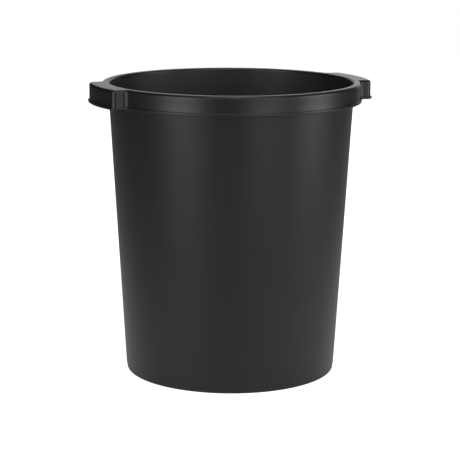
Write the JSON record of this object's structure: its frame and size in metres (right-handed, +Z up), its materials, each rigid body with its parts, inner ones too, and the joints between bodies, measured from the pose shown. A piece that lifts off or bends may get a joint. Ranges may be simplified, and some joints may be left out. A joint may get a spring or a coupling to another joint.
{
  "type": "florist bucket",
  "caption": "Round tapered open bucket in black plastic with a turned-down collar and lip, two finger grips level with the rim, and a raised floor on a narrow foot.",
  "frame": {"origin": "centre of the foot circle, on the surface that the bucket stands on", "axes": "+Z up along the bucket's axis, +X through the middle of the right grip, +Y towards the back"},
  "size_m": [0.3118, 0.2846, 0.32],
  "materials": {
    "black_polypropylene": "black injection-moulded polypropylene with a fine satin grain"
  },
  "bodies": {
    "root": {"floor_panel": "black_polypropylene", "heel_ring": "black_polypropylene", "side_wall": "black_polypropylene", "rim_back": "black_polypropylene", "rim_front": "black_polypropylene", "grip_right": "black_polypropylene", "grip_right_rib_1": "black_polypropylene", "grip_right_rib_2": "black_polypropylene", "grip_right_rib_3": "black_polypropylene", "grip_left": "black_polypropylene", "grip_left_rib_1": "black_polypropylene", "grip_left_rib_2": "black_polypropylene", "grip_left_rib_3": "black_polypropylene"}
  },
  "joints": []
}
